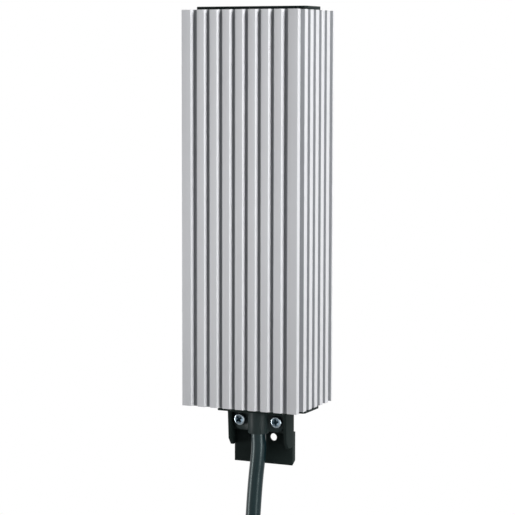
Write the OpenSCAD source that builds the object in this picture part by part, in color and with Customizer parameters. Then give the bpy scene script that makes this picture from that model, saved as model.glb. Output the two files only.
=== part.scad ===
// Small convector heater for a control cabinet: a ribbed aluminium extrusion warmed by
// ceramic heating stones, with a moulded foot that carries the cable clamp and the
// mounting plate. The finished part has its origin between the two fixing holes, on the
// back of the mounting plate. X runs across the front, Y runs backwards and Z runs up.

/* [Extrusion] */
// Length of the extrusion
body_l = 220; // [198:1:400]
// Width across the front
body_w = 70; // [64:0.5:110]
// Depth from front to back
body_d = 50; // [46:0.5:90]
// Metal left behind the grooves
skin_t = 1.6; // [1:0.1:4]
// Thickness of the webs between the air channels
web_t = 1.2; // [0.8:0.1:3]
// Rounding of the two front corners
corner_r = 0.3; // [0.2:0.1:3]

/* [Front and back ribs] */
// Number of ribs between the corner blocks
rib_count = 7; // [3:2:11]
// Distance from rib to rib
rib_pitch = 7.75; // [5:0.05:12]
// Width of a rib's flat crest
rib_w = 4; // [1.5:0.1:8]
// Width of the flat corner block
corner_w = 5.5; // [2:0.1:12]
// Depth of the grooves
groove_d = 1.8; // [0.5:0.1:5]
// How far a groove's sloping flank runs sideways
groove_run = 1.25; // [0:0.05:1.8]

/* [Side ribs] */
// Width of the flat edge next to the front
side_edge_w = 3.4; // [1:0.1:8]
// Width of the wide groove behind that edge
side_gap_w = 6; // [1:0.1:12]
// How much deeper that groove is than the other side grooves
side_gap_extra = 0.8; // [0:0.1:1.4]
// Number of side ribs
side_rib_count = 5; // [1:1:8]
// Distance from side rib to side rib
side_rib_pitch = 7.7; // [5:0.05:12]
// Width of a side rib
side_rib_w = 4.1; // [1.5:0.1:8]
// Depth of the side grooves
side_groove_d = 2; // [0.5:0.1:4]
// Width of the lip at the back corner
lip_w = 1.4; // [0.8:0.1:5]
// Bevel on the back corner's lip
lip_bevel = 0.3; // [0:0.1:2]

/* [Heating chamber] */
// Width of the chamber that holds the heating stones
chamber_w = 26; // [20:0.5:40]
// Depth of the chamber
chamber_d = 8; // [7:0.1:14]
// Wall round the chamber
chamber_t = 2; // [1.2:0.1:5]
// Width of the electrodes and the stone frame
stack_w = 24; // [16:0.5:36]
// Thickness of the insulating sleeve
sleeve_t = 0.5; // [0.3:0.05:1]
// Thickness of an electrode
electrode_t = 0.8; // [0.5:0.1:2]
// Number of heating stones
stone_count = 5; // [1:1:5]
// Width of a heating stone
stone_w = 20; // [10:0.5:30]
// Length of a heating stone
stone_l = 30; // [10:0.5:34]
// Thickness of a heating stone
stone_t = 2.4; // [1.5:0.1:4]
// Height of the lowest stone's lower edge in the chamber
stone_z = 26; // [20:0.5:28]
// Length of the chamber left free above the stack
stack_gap = 16; // [14:0.5:18]

/* [End caps] */
// Width of a cap plate
cap_w = 67; // [40:0.5:100]
// Depth of a cap plate
cap_d = 21; // [12:0.5:60]
// Thickness of a cap plate
cap_t = 2; // [1.2:0.1:5]
// Corner rounding of a cap plate
cap_r = 2; // [0.5:0.1:5]
// Height of the tongue that enters the chamber
tongue_h = 4; // [1:0.1:10]
// Wall of that tongue
tongue_t = 1.2; // [0.8:0.1:3]
// Distance between the two screws of a cap
cap_screw_span = 52; // [44:0.5:60]
// Length of a cap screw
cap_screw_l = 14; // [6:0.5:30]

/* [Foot] */
// Width of the step under the bottom cap
step_w = 40; // [37:0.5:60]
// Height of that step
step_h = 2; // [1:0.1:10]
// Width across the mounting plate
foot_w = 36.3; // [30:0.1:60]
// Thickness of the mounting plate
plate_t = 2; // [1.5:0.1:5]
// Bottom of the mounting plate below the extrusion
plate_drop = 35.9; // [28:0.1:80]
// Level below which the plate has a rim on its back
rim_drop = 16.8; // [10:0.1:30]
// How far the rim stands back
rim_d = 1.85; // [0.5:0.05:6]
// Width of the rim
rim_w = 2; // [1:0.1:5]
// Slant of the rim's lower back edge
rim_slant = 2.3; // [0:0.1:5]
// Thickness of the two cheeks
cheek_t = 1.85; // [1:0.05:4]
// Bottom of the cheeks below the extrusion
cheek_drop = 25.4; // [20:0.1:60]
// Clear distance from the extrusion to the fixing holes
hole_drop = 20.5; // [18:0.1:60]
// Distance between the two fixing holes
hole_span = 12; // [8:0.1:24]
// Radius of a fixing hole
hole_r = 2.1; // [1:0.05:4]
// Bevel at both mouths of a fixing hole
hole_bevel = 0.4; // [0:0.1:1]

/* [Cable clamp] */
// Height of the clamp along the cable
clamp_h = 12; // [8:0.1:20]
// How much longer the round back of the clamp is
hump_extra = 1; // [0:0.1:4]
// Clear gap between each ear of the clamp and the foot's cheek
ear_gap = 0.8; // [0.2:0.1:2]
// Thickness of the ears
ear_t = 2.3; // [1:0.1:5]
// Rounding of the ears' lower corners
ear_r = 4.5; // [1:0.1:8]
// Wall of the clamp round the cable
hump_t = 1.5; // [1:0.1:4]
// Distance from the end of an ear to its screw
ear_screw = 4.15; // [3.6:0.05:4.4]
// Length of a clamp screw under its head
clamp_screw_l = 7.6; // [5:0.1:12]

/* [Cable] */
// Radius of the cable
cable_r = 4.3; // [2:0.05:6]
// Radius of one insulated core
core_r = 0.95; // [0.5:0.05:1.5]
// Length of the bare cores at the cable's free end
core_end_l = 30; // [10:1:80]
// Outer length of the tied hank
hank_l = 144; // [136:1:260]
// Bend radius of the hank's two end loops
hank_bend = 25.8; // [16:0.1:28]

/* [Screws] */
// Radius of a cap screw's shank
cap_shank_r = 1.75; // [1:0.05:3]
// Radius of a cap screw's countersunk head
cap_head_r = 3.4; // [2.5:0.05:5]
// Radius of a clamp screw's shank
clamp_shank_r = 1.45; // [1:0.05:2]
// Radius of a clamp screw's head
clamp_head_r = 3.5; // [2.5:0.05:5]
// Height of a clamp screw's head
clamp_head_h = 2.6; // [1.5:0.05:4]
// Radius of the earth screw's shank
earth_shank_r = 1.25; // [0.8:0.05:2]
// Length of the earth screw under its head
earth_screw_l = 8; // [4:0.5:16]

/* [Hidden] */
$fn = 48;
eps = 0.05;
// clearance between the cap's tongue and the chamber
tongue_fit = 0.2;
// clearance of a clamp screw in the clamp's ear
ear_fit = 0.4;
// clearance between a heating stone and its frame
stone_fit = 0.1;
// gap between the clamp and the step above it
clamp_gap = 0.2;

half_w = body_w / 2;
half_d = body_d / 2;
cavity_x = half_w - side_groove_d - skin_t;
cavity_y = half_d - groove_d - skin_t;
chamber_x = chamber_w / 2;
chamber_y = chamber_d / 2;
cap_screw_x = cap_screw_span / 2;
cap_boss_r = cap_shank_r + 1.85;
earth_x = chamber_x + 2.6;
earth_boss_r = earth_shank_r + 1.75;
side_gap_d = side_groove_d + side_gap_extra;
first_side_rib = side_edge_w + side_gap_w;
last_side_rib = first_side_rib + (side_rib_count - 1) * side_rib_pitch + side_rib_w;

// foot, measured down from the extrusion and back from its middle
step_z = -cap_t - step_h;
plate_y = 8;
plate_back = plate_y + plate_t;
foot_x = foot_w / 2;
cable_y = 1.1;
ear_y = 1.6;
seat_y = ear_y + ear_t;
clamp_w = foot_w - 2 * cheek_t - 2 * ear_gap;
clamp_screw_x = clamp_w / 2 - ear_screw;
clamp_top = step_z - clamp_gap;
clamp_mid = clamp_top - clamp_h / 2;
seat_drop = clamp_h + hump_extra;
pocket_h = 2.6;
pocket_y = 2.6;
ring_r = 2.8;
ring_t = 0.6;

// heating stack, from the chamber's front wall backwards
sleeve_y = -chamber_y;
front_el_y = sleeve_y + sleeve_t;
stone_y = front_el_y + electrode_t;
back_el_y = stone_y + stone_t;
bar_y = back_el_y + electrode_t + sleeve_t;
stack_end = 4;
stack_z = stone_z - stack_end;
stack_l = body_l - stack_gap - stack_z;
stone_pitch = (stack_l - 2 * stack_end - stone_l) / max(stone_count - 1, 1);
tab_x = 6;
barrel_r = 1.35;
barrel_z = 8;

// cable route below the clamp and the hank that stores its unseen length
hank_x = -4;
hank_top = -70;
lobe_r = hank_bend + cable_r;
hank_mid = hank_top - hank_l / 2;
lobe_off = hank_l / 2 - lobe_r;
hank_front = cable_y - cable_r;
hank_back = cable_y + 3 * cable_r;
waist_x = 2 * cable_r + 0.1;
tail_y = cable_y + 2 * cable_r;
tail_z = hank_top - hank_l - 6;
socket_d = 5;
cable_route = [
    [0, cable_y, step_z],
    [0, cable_y, -17],
    [0.2, cable_y, -25],
    [-0.5, cable_y, -34],
    [-1.4, cable_y, -42],
    [-2.6, cable_y, -56],
    [-3.2, cable_y, -65],
    [hank_x, cable_y, hank_top - socket_d]
];
live_route = [[-1.5, 0.3, step_z], [-2, 0, -2], [-3.4, -0.8, 1.5], [-5.4, -1.9, 5], [-tab_x, front_el_y + barrel_r, 8], [-tab_x, front_el_y + barrel_r, 13]];
neutral_route = [[1.5, 0.3, step_z], [2, 0.2, -2], [3.4, -0.1, 1.5], [5.4, -0.7, 5], [tab_x, bar_y - sleeve_t - barrel_r, 8], [tab_x, bar_y - sleeve_t - barrel_r, 13]];
earth_route = [[0, 2.6, step_z], [0.5, 2.5, -2.6], [2, 1.9, -1.6], [4.6, 0.9, -1.3], [7.5, 0.1, -1.3], [9, 0, -1.3], [11.5, 0, -1.3]];

// the whole part moves so that its origin lies between the fixing holes
module placed() {
    translate([0, -plate_back, hole_drop]) children();
}

function unit(v) = v / norm(v);
function heading(p, i) = unit(p[min(i + 1, len(p) - 1)] - p[max(i - 1, 0)]);
function side_of(t) = unit(cross([0, 1, 0], t));
function ring_at(p, i, r, n) = let (t = heading(p, i), u = side_of(t), v = cross(t, u))
    [for (k = [0:n - 1]) p[i] + r * (cos(360 * k / n) * u + sin(360 * k / n) * v)];
function between(a, b, c, d, t) = 0.5 * (2 * b + (c - a) * t + (2 * a - 5 * b + 4 * c - d) * t * t
    + (3 * b - a - 3 * c + d) * t * t * t);
function smooth(p, steps) = concat([for (i = [0:len(p) - 2], s = [0:steps - 1])
    between(p[max(i - 1, 0)], p[i], p[i + 1], p[min(i + 2, len(p) - 1)], s / steps)], [p[len(p) - 1]]);

// a round lead swept along its route
module lead(p, r, n) {
    last = len(p) - 1;
    rings = [for (i = [0:last]) each ring_at(p, i, r, n)];
    walls = [for (i = [0:last - 1], k = [0:n - 1]) let (m = (k + 1) % n, a = i * n, b = a + n)
        each [[a + k, b + k, b + m], [a + k, b + m, a + m]]];
    polyhedron(
        points = rings,
        faces = concat(walls, [[for (k = [0:n - 1]) k]], [[for (k = [n - 1:-1:0]) last * n + k]]),
        convexity = 6
    );
}

module rounded_plate(w, d, r) {
    square([w, d - 2 * r], center = true);
    square([w - 2 * r, d], center = true);
    for (x = [-1, 1], y = [-1, 1]) translate([x * (w / 2 - r), y * (d / 2 - r)]) circle(r);
}

// one groove of the front face, from x = a to x = b, cut inwards from y = 0
module face_groove(a, b) {
    polygon([[a, -1], [b, -1], [b, 0], [b - groove_run, groove_d], [a + groove_run, groove_d], [a, 0]]);
}

module face_grooves() {
    reach = (rib_count - 1) / 2;
    for (i = [0:rib_count - 2]) {
        x = (i - reach) * rib_pitch;
        face_groove(x + rib_w / 2, x + rib_pitch - rib_w / 2);
    }
    for (m = [0, 1]) mirror([m, 0]) face_groove(reach * rib_pitch + rib_w / 2, half_w - corner_w);
}

// the grooves of the right-hand side, cut inwards from x = 0, with y = 0 at the front
module side_grooves() {
    translate([-side_gap_d, side_edge_w]) square([side_gap_d + 1, side_gap_w]);
    for (i = [0:side_rib_count - 2])
        translate([-side_groove_d, first_side_rib + i * side_rib_pitch + side_rib_w])
            square([side_groove_d + 1, side_rib_pitch - side_rib_w]);
    translate([-side_groove_d, last_side_rib])
        square([side_groove_d + 1, body_d - lip_w - last_side_rib]);
    polygon([[-lip_bevel, body_d], [0, body_d - lip_bevel], [1, body_d - lip_bevel], [1, body_d + 1], [-lip_bevel, body_d + 1]]);
}

module outer_section() {
    difference() {
        union() {
            rounded_plate(body_w, body_d, corner_r);
            translate([-half_w, 0]) square([body_w, half_d]);
        }
        for (m = [0, 1]) mirror([0, m]) translate([0, -half_d]) face_grooves();
        for (m = [0, 1]) mirror([m, 0]) translate([half_w, -half_d]) side_grooves();
    }
}

// webs, screw bosses, the chamber's walls and the metal behind each side's deep groove
module inner_section() {
    reach = (rib_count - 1) / 2;
    square([chamber_w + 2 * chamber_t, chamber_d + 2 * chamber_t], center = true);
    for (i = [-reach:reach]) translate([i * rib_pitch, 0]) square([web_t, 2 * cavity_y + 0.4], center = true);
    square([2 * cavity_x + 0.4, chamber_t], center = true);
    for (m = [0, 1]) mirror([m, 0]) {
        translate([cap_screw_x, 0]) circle(cap_boss_r);
        translate([earth_x, 0]) circle(earth_boss_r);
        translate([half_w - side_gap_d - skin_t, groove_d - half_d]) square([skin_t, first_side_rib + skin_t - groove_d]);
    }
}

module heatsink_profile() {
    color("silver") placed() linear_extrude(body_l) difference() {
        union() {
            difference() {
                outer_section();
                square([2 * cavity_x, 2 * cavity_y], center = true);
            }
            inner_section();
        }
        square([chamber_w, chamber_d], center = true);
        for (x = [-cap_screw_x, cap_screw_x]) translate([x, 0]) circle(cap_shank_r);
        for (x = [-earth_x, earth_x]) translate([x, 0]) circle(earth_shank_r);
    }
}

// hollow tongue that locates a cap in the chamber, standing up from z = 0
module tongue() {
    w = chamber_w - 2 * tongue_fit;
    d = chamber_d - 2 * tongue_fit;
    linear_extrude(tongue_h) difference() {
        square([w, d], center = true);
        square([w - 2 * tongue_t, d - 2 * tongue_t], center = true);
    }
}

// countersunk screw with its head's top at z = 0 and its shank running down
module cap_screw() {
    head_h = cap_head_r - cap_shank_r;
    difference() {
        rotate_extrude() polygon([[0, 0], [cap_head_r, 0], [cap_shank_r, -head_h], [cap_shank_r, 1 - cap_screw_l], [0.6, -cap_screw_l], [0, -cap_screw_l]]);
        for (a = [0, 90]) rotate([0, 0, a]) cube([4, 0.9, 2], center = true);
    }
}

module cap_screw_hole() {
    head_h = cap_head_r - cap_shank_r;
    rotate_extrude() polygon([[0, 1], [cap_head_r, 1], [cap_head_r, 0], [cap_shank_r, -head_h], [cap_shank_r, -cap_t - 1], [0, -cap_t - 1]]);
}

module top_cap() {
    color("dimgray") placed() translate([0, 0, body_l]) difference() {
        union() {
            linear_extrude(cap_t) rounded_plate(cap_w, cap_d, cap_r);
            mirror([0, 0, 1]) tongue();
        }
        for (x = [-cap_screw_x, cap_screw_x]) translate([x, 0, cap_t]) cap_screw_hole();
    }
}

module top_cap_screws() {
    color("lightsteelblue") placed() for (x = [-cap_screw_x, cap_screw_x])
        translate([x, 0, body_l + cap_t]) cap_screw();
}

// outline of the step and the foot's shoulders, seen from the front
module shoulder_outline() {
    polygon([[-step_w / 2, -cap_t], [step_w / 2, -cap_t], [step_w / 2, step_z + 0.4], [foot_x, step_z - 1.4],
        [-foot_x, step_z - 1.4], [-step_w / 2, step_z + 0.4]]);
}

// outline of one cheek, seen from the side, with y forwards to backwards
module cheek_outline() {
    polygon([[-1.4, step_z], [-0.3, 3.9 - cheek_drop], [2.7, -cheek_drop], [plate_back, -cheek_drop], [plate_back, step_z]]);
}

// outline of the plate and its rim, seen from the side
module rim_outline() {
    back = plate_back + rim_d;
    polygon([[plate_y, step_z], [plate_back, step_z], [plate_back, -rim_drop], [back, -rim_drop],
        [back, rim_slant - plate_drop], [plate_y, -plate_drop]]);
}

// extrudes a front view, given in x and z, from y = a back to y = b
module front_view(a, b) {
    translate([0, b, 0]) rotate([90, 0, 0]) linear_extrude(b - a) children();
}

// extrudes a side view, given in y and z, from x = a to x = b
module side_view(a, b) {
    translate([a, 0, 0]) rotate([90, 0, 90]) linear_extrude(b - a) children();
}

module bottom_cap() {
    color("dimgray") placed() difference() {
        union() {
            translate([0, 0, -cap_t]) linear_extrude(cap_t) rounded_plate(cap_w, cap_d, cap_r);
            tongue();
            translate([-step_w / 2, -cap_d / 2, step_z]) cube([step_w, cap_d - 0.5, step_h]);
            front_view(plate_y, plate_back) shoulder_outline();
            for (m = [0, 1]) mirror([m, 0, 0]) {
                side_view(foot_x - cheek_t, foot_x) cheek_outline();
                side_view(foot_x - rim_w, foot_x) rim_outline();
            }
            translate([-foot_x, plate_y, -plate_drop + rim_slant * plate_t / (plate_t + rim_d)])
                cube([foot_w, plate_t, plate_drop + step_z - rim_slant * plate_t / (plate_t + rim_d)]);
            side_view(-foot_x, foot_x) intersection() {
                rim_outline();
                union() {
                    translate([0, -rim_drop - rim_w]) square([plate_back + rim_d, rim_w]);
                    translate([0, -plate_drop - 1]) square([plate_back + rim_d, rim_w + rim_slant + 1]);
                }
            }
            translate([-foot_x, seat_y, step_z - seat_drop]) cube([foot_w, plate_y - seat_y, seat_drop]);
        }
        translate([0, cable_y, step_z - seat_drop - 1]) cylinder(h = seat_drop + 1 + step_h + cap_t - 1, r = cable_r);
        translate([-chamber_x + 4, -pocket_y, -pocket_h]) cube([chamber_w - 8, 2 * pocket_y, pocket_h + 1]);
        translate([0, -ring_r - 0.2, -pocket_h]) cube([earth_x, 2 * ring_r + 0.4, pocket_h]);
        translate([earth_x, 0, -pocket_h]) cylinder(h = pocket_h, r = ring_r + 0.2);
        for (x = [-cap_screw_x, cap_screw_x]) translate([x, 0, -cap_t]) mirror([0, 0, 1]) cap_screw_hole();
        for (x = [-1, 1]) {
            translate([x * clamp_screw_x, seat_y - 1, clamp_mid]) rotate([-90, 0, 0])
                cylinder(h = ear_y + clamp_screw_l + 0.3 - seat_y + 1, r = clamp_shank_r);
            translate([x * hole_span / 2, plate_y, -hole_drop]) rotate([-90, 0, 0]) fixing_hole();
        }
    }
}

// bevelled hole through the mounting plate, running from z = 0 to the plate's thickness
module fixing_hole() {
    rotate_extrude() polygon([[0, -1], [hole_r + hole_bevel, -1], [hole_r + hole_bevel, 0], [hole_r, hole_bevel],
        [hole_r, plate_t - hole_bevel], [hole_r + hole_bevel, plate_t], [hole_r + hole_bevel, plate_t + rim_d + 1], [0, plate_t + rim_d + 1]]);
}

module bottom_cap_screws() {
    color("lightsteelblue") placed() for (x = [-cap_screw_x, cap_screw_x])
        translate([x, 0, -cap_t]) mirror([0, 0, 1]) cap_screw();
}

module cable_clamp() {
    hump_r = cable_r + hump_t;
    color("darkslategray") placed() difference() {
        union() {
            front_view(ear_y, seat_y) union() {
                translate([-clamp_w / 2, clamp_top - clamp_h + ear_r]) square([clamp_w, clamp_h - ear_r]);
                translate([-clamp_w / 2 + ear_r, clamp_top - clamp_h]) square([clamp_w - 2 * ear_r, clamp_h]);
                for (x = [-1, 1]) translate([x * (clamp_w / 2 - ear_r), clamp_top - clamp_h + ear_r]) circle(ear_r);
            }
            translate([0, 0, clamp_top - clamp_h - hump_extra]) linear_extrude(clamp_h + hump_extra) intersection() {
                translate([0, cable_y]) circle(hump_r);
                translate([-hump_r, cable_y - hump_r]) square([2 * hump_r, seat_y - cable_y + hump_r]);
            }
        }
        translate([0, cable_y, clamp_top - clamp_h - hump_extra - 1]) cylinder(h = clamp_h + hump_extra + 2, r = cable_r);
        translate([-cable_r, cable_y, clamp_top - clamp_h - hump_extra - 1]) cube([2 * cable_r, seat_y, clamp_h + hump_extra + 2]);
        for (x = [-1, 1]) translate([x * clamp_screw_x, ear_y - 1, clamp_mid]) rotate([-90, 0, 0])
            cylinder(h = ear_t + 2, r = clamp_shank_r + ear_fit);
    }
}

// pan head screw lying along y, its head's underside at y = 0
module pan_screw(head_r, head_h, shank_r, l, slot) {
    rotate([90, 0, 0]) difference() {
        rotate_extrude() polygon([[0, -l], [shank_r * 0.5, -l], [shank_r, 0.8 - l], [shank_r, 0], [head_r, 0],
            [head_r, head_h * 0.5], [head_r * 0.84, head_h * 0.84], [head_r * 0.45, head_h], [0, head_h]]);
        for (a = [0, 90]) rotate([0, 0, a]) translate([0, 0, head_h]) cube([slot, slot / 4, head_h * 0.9], center = true);
    }
}

module clamp_screws() {
    color("lightsteelblue") placed() for (x = [-1, 1]) translate([x * clamp_screw_x, ear_y, clamp_mid])
        pan_screw(clamp_head_r, clamp_head_h, clamp_shank_r, clamp_screw_l, 3.6);
}

module mains_cable() {
    color("darkslategray") placed() lead(cable_route, cable_r, 12);
}

// outline of the hank, seen from the front, with its waist at the origin
module hank_outline() {
    for (m = [0, 1]) mirror([0, m]) {
        translate([0, lobe_off]) circle(lobe_r);
        polygon([[-waist_x, 0], [waist_x, 0], [waist_x, 3], [lobe_r * 0.77, lobe_off - lobe_r * 0.5],
            [-lobe_r * 0.77, lobe_off - lobe_r * 0.5], [-waist_x, 3]]);
    }
}

module cable_hank() {
    color("darkslategray") placed() difference() {
        union() {
            translate([hank_x, 0, hank_mid]) front_view(hank_front, hank_back) hank_outline();
            translate([hank_x, tail_y, tail_z]) cylinder(h = 20, r = cable_r - 0.05);
        }
        translate([hank_x, cable_y, hank_top - socket_d]) cylinder(h = 2 * socket_d, r = cable_r + 0.3);
    }
}

module cable_tie() {
    band_t = 1.3;
    band_h = 4.8;
    depth = hank_back - hank_front;
    color("black") placed() translate([hank_x, 0, hank_mid]) {
        difference() {
            translate([-waist_x - band_t, hank_front - band_t, -band_h / 2])
                cube([2 * (waist_x + band_t), depth + 2 * band_t, band_h]);
            translate([-waist_x, hank_front, -band_h]) cube([2 * waist_x, depth, 2 * band_h]);
        }
        translate([-3.5, hank_front - band_t - 4, -3]) cube([7, 4, 6]);
    }
}

// one core at the free end, given by where it leaves the cable and how far it spreads
function core_route(x, y, dx, dy) = [for (t = [0, 0.25, 0.5, 0.75, 1]) let (s = t * t * (3 - 2 * t))
    [hank_x + x + dx * s, tail_y + y + dy * s, tail_z - core_end_l * t]];
live_end_route = core_route(-1.6, 0, -7, 0);
neutral_end_route = core_route(1.6, 0, 7, 0);
earth_end_route = core_route(0, 2, 0, 5);

module live_end() {
    color("saddlebrown") placed() lead(live_end_route, core_r, 8);
}

module neutral_end() {
    color("royalblue") placed() lead(neutral_end_route, core_r, 8);
}

module earth_end() {
    color("yellowgreen") placed() lead(earth_end_route, core_r, 8);
}

module core_ferrules() {
    color("silver") placed() for (route = [live_end_route, neutral_end_route, earth_end_route])
        translate(route[4]) mirror([0, 0, 1]) rotate_extrude()
            polygon([[0, 0], [1.5, 0], [1.5, 2], [0.8, 4], [0.8, 11], [0, 11]]);
}

module live_wire() {
    color("saddlebrown") placed() lead(smooth(live_route, 3), core_r, 8);
}

module neutral_wire() {
    color("royalblue") placed() lead(smooth(neutral_route, 3), core_r, 8);
}

module earth_wire() {
    color("yellowgreen") placed() lead(smooth(earth_route, 3), core_r, 8);
}

module earth_terminal() {
    color("silver") placed() difference() {
        union() {
            translate([earth_x, 0, -ring_t]) cylinder(h = ring_t, r = ring_r);
            translate([11, -1.1, -ring_t]) cube([earth_x - 11, 2.2, ring_t - 0.05]);
            translate([9, 0, -1.3]) rotate([0, 90, 0]) cylinder(h = 3, r = core_r + 0.3);
        }
        translate([earth_x, 0, -ring_t - 1]) cylinder(h = ring_t + 2, r = earth_shank_r + 0.15);
        translate([8, 0, -1.3]) rotate([0, 90, 0]) cylinder(h = 3.5, r = core_r);
    }
}

module earth_screw() {
    color("lightsteelblue") placed() translate([earth_x, 0, -ring_t]) rotate([90, 0, 0])
        pan_screw(2.5, 1.7, earth_shank_r, earth_screw_l, 2.6);
}

module ptc_stones() {
    color("darkgoldenrod") placed() for (i = [0:stone_count - 1])
        translate([-stone_w / 2, stone_y, stone_z + i * stone_pitch]) cube([stone_w, stone_t, stone_l]);
}

module stone_frame() {
    color("wheat") placed() difference() {
        translate([-stack_w / 2, stone_y + 0.1, stack_z]) cube([stack_w, stone_t - 0.2, stack_l]);
        for (i = [0:stone_count - 1])
            translate([-stone_w / 2 - stone_fit, stone_y - 1, stone_z + i * stone_pitch - stone_fit])
                cube([stone_w + 2 * stone_fit, stone_t + 2, stone_l + 2 * stone_fit]);
    }
}

// an electrode with its lead's crimp barrel below it, the barrel's middle at y
module electrode(x, y, from_y) {
    translate([-stack_w / 2, from_y, stack_z]) cube([stack_w, electrode_t, stack_l]);
    difference() {
        union() {
            translate([x - 3, from_y, barrel_z + 5]) cube([6, electrode_t, stack_z - barrel_z - 5 + eps]);
            translate([x, y, barrel_z]) cylinder(h = 7, r = barrel_r);
        }
        translate([x, y, barrel_z - 1]) cylinder(h = 6, r = core_r);
    }
}

module front_electrode() {
    color("tan") placed() electrode(-tab_x, front_el_y + barrel_r, front_el_y);
}

module back_electrode() {
    color("tan") placed() electrode(tab_x, bar_y - sleeve_t - barrel_r, back_el_y);
}

module insulating_sleeve() {
    depth = bar_y - sleeve_y;
    color("orange") placed() translate([0, sleeve_y + depth / 2, tongue_h + 1]) linear_extrude(stack_z + stack_l - tongue_h + 3) difference() {
        square([stack_w + 2 * sleeve_t, depth], center = true);
        square([stack_w, depth - 2 * sleeve_t], center = true);
    }
}

module pressure_bar() {
    color("gainsboro") placed() translate([-stack_w / 2, bar_y, stack_z])
        cube([stack_w, chamber_y - bar_y, stack_l]);
}

heatsink_profile();
top_cap();
top_cap_screws();
bottom_cap();
bottom_cap_screws();
cable_clamp();
clamp_screws();
mains_cable();
cable_hank();
cable_tie();
live_end();
neutral_end();
earth_end();
core_ferrules();
live_wire();
neutral_wire();
earth_wire();
earth_terminal();
earth_screw();
ptc_stones();
stone_frame();
front_electrode();
back_electrode();
insulating_sleeve();
pressure_bar();
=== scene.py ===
# %% [markdown]
# # A small cabinet heater
# The heater is a ribbed aluminium extrusion that hangs by a moulded plastic foot. Its cable
# leaves through a clamp on that foot. All sizes come from the CAD model, which is loaded
# first and stays where it is. Every piece made here sits on it, in metres, with Z up, so
# nothing has to be fitted by eye.

import math

import bpy
from mathutils import Matrix, Vector


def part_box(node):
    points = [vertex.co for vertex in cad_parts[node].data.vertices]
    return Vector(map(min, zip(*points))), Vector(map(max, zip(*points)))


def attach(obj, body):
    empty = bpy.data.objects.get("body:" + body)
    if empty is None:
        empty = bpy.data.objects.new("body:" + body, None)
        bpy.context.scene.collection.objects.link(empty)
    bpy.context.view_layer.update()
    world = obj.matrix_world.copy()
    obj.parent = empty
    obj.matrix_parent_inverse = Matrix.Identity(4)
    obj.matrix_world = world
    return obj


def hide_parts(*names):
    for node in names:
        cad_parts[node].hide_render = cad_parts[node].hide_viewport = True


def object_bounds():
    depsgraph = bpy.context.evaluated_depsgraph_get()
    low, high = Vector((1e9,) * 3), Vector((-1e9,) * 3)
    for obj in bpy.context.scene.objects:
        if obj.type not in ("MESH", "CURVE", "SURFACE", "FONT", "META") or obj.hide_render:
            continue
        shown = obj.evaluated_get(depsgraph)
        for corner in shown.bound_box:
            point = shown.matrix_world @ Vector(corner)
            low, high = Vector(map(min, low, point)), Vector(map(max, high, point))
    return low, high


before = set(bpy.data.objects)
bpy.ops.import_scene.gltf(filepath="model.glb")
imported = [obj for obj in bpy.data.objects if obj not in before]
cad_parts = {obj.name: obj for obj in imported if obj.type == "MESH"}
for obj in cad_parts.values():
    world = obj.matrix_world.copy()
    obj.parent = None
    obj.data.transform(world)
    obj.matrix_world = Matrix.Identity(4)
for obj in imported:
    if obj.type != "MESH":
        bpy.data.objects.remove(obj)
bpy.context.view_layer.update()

# %% [markdown]
# ## Measuring
# The extrusion's lower end is the natural place to measure from: lengths up the heater and
# down the foot both start there. The extrusion's CAD node gives where that end is, in metres.
# A drawing of a heater is in millimetres, so one helper turns the one into the other, and all
# the numbers below read as they would on the drawing.

# %% Measure from the extrusion's lower end
MM = 0.001
profile_low, profile_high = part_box("heatsink_profile")
middle = (profile_low + profile_high) / 2
width, depth, height = (v / MM for v in profile_high - profile_low)


def at(x, y, z):
    """A point given in millimetres from the middle of the extrusion's lower end."""
    return Vector((middle.x + x * MM, middle.y + y * MM, profile_low.z + z * MM))


print("extrusion", round(width, 2), round(depth, 2), round(height, 2), "mm")

# %% [markdown]
# ## The camera
# The picture was taken from the right and slightly above, with a long lens that keeps the
# edges nearly parallel. A camera can be pushed about by hand until the view fits, but its
# numbers then mean nothing. Here a pinhole camera was fitted to the corners of the extrusion,
# and the camera is built from the angles, the distance and the lens that this gave.

# %% Where the camera stands
azimuth_deg, elevation_deg, roll_deg = 24.8675, 5.7619, 0.1069
distance_mm = 1090.22
aim_right_mm, aim_height_mm = -0.2053, 82.5371


def way_out(turn_deg, rise_deg):
    """The direction from the heater to a camera or a lamp: turn 0 is straight in front, 90
    is on its right, and rise is the angle upwards."""
    turn, rise = math.radians(turn_deg), math.radians(rise_deg)
    level = math.cos(rise)
    return Vector((math.sin(turn) * level, -math.cos(turn) * level, math.sin(rise)))


azimuth, roll = math.radians(azimuth_deg), math.radians(roll_deg)
back = way_out(azimuth_deg, elevation_deg)
level_right = Vector((math.cos(azimuth), math.sin(azimuth), 0))
level_up = back.cross(level_right)
right = math.cos(roll) * level_right + math.sin(roll) * level_up
up = -math.sin(roll) * level_right + math.cos(roll) * level_up
eye = at(0, 0, aim_height_mm) + level_right * aim_right_mm * MM + back * distance_mm * MM
print("camera at", tuple(round(v, 3) for v in eye))

# %% Make the camera
image_px, focal_px, sensor_mm = 515, 1945.8453, 36


def in_scene(name, data):
    """A new object that shows this data, put into the scene."""
    piece = bpy.data.objects.new(name, data)
    bpy.context.scene.collection.objects.link(piece)
    return piece


camera_data = bpy.data.cameras.new("camera")
camera_data.sensor_width = sensor_mm
camera_data.lens = focal_px / image_px * sensor_mm
camera = in_scene("camera", camera_data)
camera.matrix_world = Matrix.Translation(eye) @ Matrix((right, up, back)).transposed().to_4x4()
bpy.context.scene.camera = camera
print("lens", round(camera_data.lens, 1), "mm")

# %% [markdown]
# ## Shared surface effects
# Extruded metal carries fine lines along its length, and moulded plastic has an even fine
# grain. Many finishes need the one or the other. The nodes could be copied into each
# material, but then a change has to be made many times. So each effect is a node group, built
# once. It puts out numbers only, and a material sends them to colour, roughness or bump.

# %% Start a node group


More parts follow.
